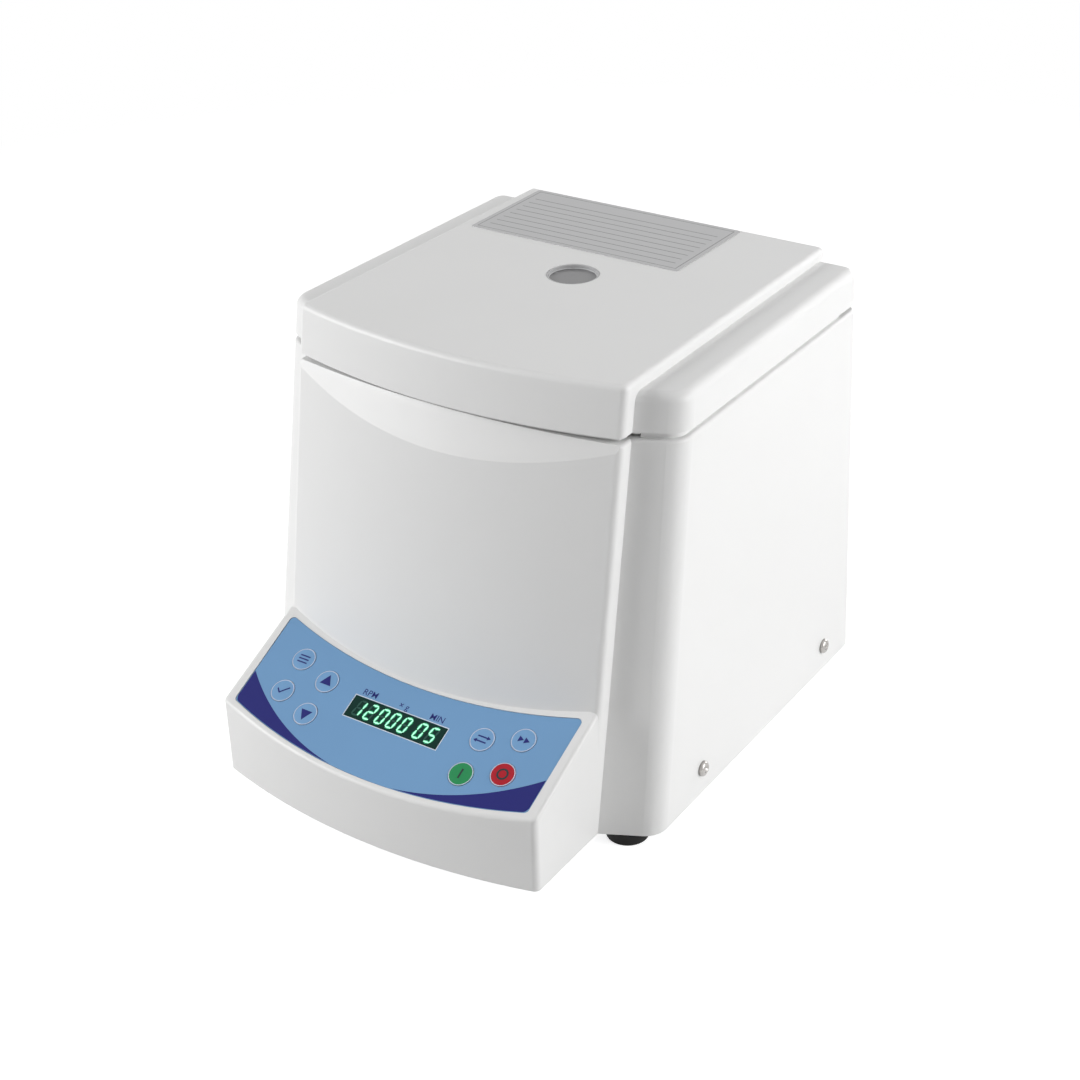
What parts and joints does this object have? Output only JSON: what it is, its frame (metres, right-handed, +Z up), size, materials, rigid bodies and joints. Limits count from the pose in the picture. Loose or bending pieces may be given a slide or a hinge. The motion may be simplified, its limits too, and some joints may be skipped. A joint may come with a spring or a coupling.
{
  "type": "hematocrit centrifuge",
  "caption": "Bench centrifuge for capillary tubes: hinged lid with window and latch, slotted disc rotor on a vertical motor, sloping front console with keys and display.",
  "frame": {"origin": "on the bench, straight below the rotor's axis", "axes": "+Z up along the rotor's axis, -Y towards the user and the console, +X to the user's right"},
  "size_m": [0.2908, 0.349, 0.2779],
  "materials": {
    "housing_plastic": "satin, fine moulded texture",
    "liner_plastic": "satin",
    "rubber": "matt",
    "zinc_steel": "zinc-plated sheet",
    "screw_steel": "plated",
    "stainless": "spun and polished",
    "motor_enamel": "semi-gloss black",
    "laminations": "stacked sheet and enamelled wire",
    "rotor_alloy": "machined, clear anodised",
    "knob_plastic": "gloss",
    "window_glass": "grey tint",
    "bezel_plastic": "gloss",
    "label_foil": "brushed foil",
    "overlay_film": "satin polyester film",
    "display_window": "gloss",
    "key_blue": "satin",
    "key_green": "satin",
    "key_red": "satin",
    "circuit_board": "satin",
    "black_plastic": "satin",
    "panel_paint": "satin powder coat",
    "heat_sink_black": "black anodised"
  },
  "bodies": {
    "housing": {"body_housing": "housing_plastic", "base_plate": "zinc_steel", "rubber_feet": "rubber", "machine_screws": "screw_steel", "side_screws": "screw_steel", "chamber_bowl": "stainless", "deck_screws": "screw_steel", "motor_can": "motor_enamel", "motor_end_cap": "rotor_alloy", "motor_bearings": "stainless", "motor_stator": "laminations", "motor_plate": "zinc_steel", "base_posts": "zinc_steel", "vibration_mounts": "rubber", "shaft_grommet": "rubber", "hinge_body_leaves": "stainless", "pivot_pins": "stainless", "latch_frame": "zinc_steel", "latch_solenoid": "motor_enamel", "lid_switch": "black_plastic", "membrane_overlay": "overlay_film", "display_pane": "display_window", "keypad_board": "circuit_board", "key_switches": "black_plastic", "display_module": "black_plastic", "rear_panel": "panel_paint", "panel_screws": "screw_steel", "power_inlet": "black_plastic", "rocker_frame": "black_plastic", "power_board": "circuit_board", "transformer": "laminations", "heat_sink": "heat_sink_black"},
    "lid": {"lid_shell": "housing_plastic", "lid_liner": "liner_plastic", "lid_screws": "screw_steel", "lid_seal": "rubber", "window_bezel": "bezel_plastic", "window_lens": "window_glass", "label_plate": "label_foil", "hinge_lid_leaves": "stainless", "latch_striker": "stainless"},
    "rotor": {"motor_shaft": "stainless", "motor_armature": "laminations", "rotor_disc": "rotor_alloy", "rotor_rim_gasket": "rubber", "rotor_cover": "rotor_alloy"},
    "knob": {"rotor_knob": "knob_plastic"},
    "pawl": {"latch_pawl": "zinc_steel"},
    "plunger": {"solenoid_plunger": "screw_steel"},
    "lid_button": {"lid_switch_button": "black_plastic"},
    "rocker": {"power_rocker": "black_plastic"},
    "fuse_holder": {"fuse_drawer": "black_plastic"},
    "key_menu_cap": {"key_menu": "key_blue"},
    "key_up_cap": {"key_up": "key_blue"},
    "key_confirm_cap": {"key_confirm": "key_blue"},
    "key_down_cap": {"key_down": "key_blue"},
    "key_units_cap": {"key_units": "key_blue"},
    "key_short_spin_cap": {"key_short_spin": "key_blue"},
    "key_start_cap": {"key_start": "key_green"},
    "key_stop_cap": {"key_stop": "key_red"}
  },
  "joints": [
    {"name": "lid_hinge", "type": "hinge", "parent": "housing", "child": "lid", "pos_m": [0, 0.109, 0.25], "axis": [-1, 0, 0], "range_deg": [0, 80]},
    {"name": "rotor_spin", "type": "hinge", "parent": "housing", "child": "rotor", "pos_m": [0, 0, 0.2], "axis": [0, 0, 1], "continuous": true},
    {"name": "knob_turn", "type": "hinge", "parent": "rotor", "child": "knob", "pos_m": [0, 0, 0.22], "axis": [0, 0, 1], "range_deg": [0, 720]},
    {"name": "pawl_swing", "type": "hinge", "parent": "housing", "child": "pawl", "pos_m": [0, -0.111, 0.213], "axis": [1, 0, 0], "range_deg": [0, 22], "stiffness_Nm_per_rad": 0.05, "springref_deg": -11.46},
    {"name": "plunger_slide", "type": "slide", "parent": "housing", "child": "plunger", "axis": [0, 1, 0], "range_m": [0, 0.0068]},
    {"name": "lid_button_press", "type": "slide", "parent": "housing", "child": "lid_button", "axis": [0, 0, -1], "range_m": [0, 0.0015], "stiffness_N_per_m": 400, "springref_m": -0.001},
    {"name": "rocker_flip", "type": "hinge", "parent": "housing", "child": "rocker", "pos_m": [0.062, 0.11155, 0.092], "axis": [-1, 0, 0], "range_deg": [0, 20]},
    {"name": "fuse_holder_slide", "type": "slide", "parent": "housing", "child": "fuse_holder", "axis": [0, 1, 0], "range_m": [0, 0.014]},
    {"name": "key_menu_press", "type": "slide", "parent": "housing", "child": "key_menu_cap", "axis": [0, 0.4462, -0.8949], "range_m": [0, 0.0005], "stiffness_N_per_m": 3000, "springref_m": -0.0003},
    {"name": "key_up_press", "type": "slide", "parent": "housing", "child": "key_up_cap", "axis": [0, 0.4462, -0.8949], "range_m": [0, 0.0005], "stiffness_N_per_m": 3000, "springref_m": -0.0003},
    {"name": "key_confirm_press", "type": "slide", "parent": "housing", "child": "key_confirm_cap", "axis": [0, 0.4462, -0.8949], "range_m": [0, 0.0005], "stiffness_N_per_m": 3000, "springref_m": -0.0003},
    {"name": "key_down_press", "type": "slide", "parent": "housing", "child": "key_down_cap", "axis": [0, 0.4462, -0.8949], "range_m": [0, 0.0005], "stiffness_N_per_m": 3000, "springref_m": -0.0003},
    {"name": "key_units_press", "type": "slide", "parent": "housing", "child": "key_units_cap", "axis": [0, 0.4462, -0.8949], "range_m": [0, 0.0005], "stiffness_N_per_m": 3000, "springref_m": -0.0003},
    {"name": "key_short_spin_press", "type": "slide", "parent": "housing", "child": "key_short_spin_cap", "axis": [0, 0.4462, -0.8949], "range_m": [0, 0.0005], "stiffness_N_per_m": 3000, "springref_m": -0.0003},
    {"name": "key_start_press", "type": "slide", "parent": "housing", "child": "key_start_cap", "axis": [0, 0.4462, -0.8949], "range_m": [0, 0.0005], "stiffness_N_per_m": 3000, "springref_m": -0.0003},
    {"name": "key_stop_press", "type": "slide", "parent": "housing", "child": "key_stop_cap", "axis": [0, 0.4462, -0.8949], "range_m": [0, 0.0005], "stiffness_N_per_m": 3000, "springref_m": -0.0003}
  ],
  "couplings": [
    {"joint": "plunger_slide", "follows": "pawl_swing", "m_per_rad": 0.0177}
  ]
}
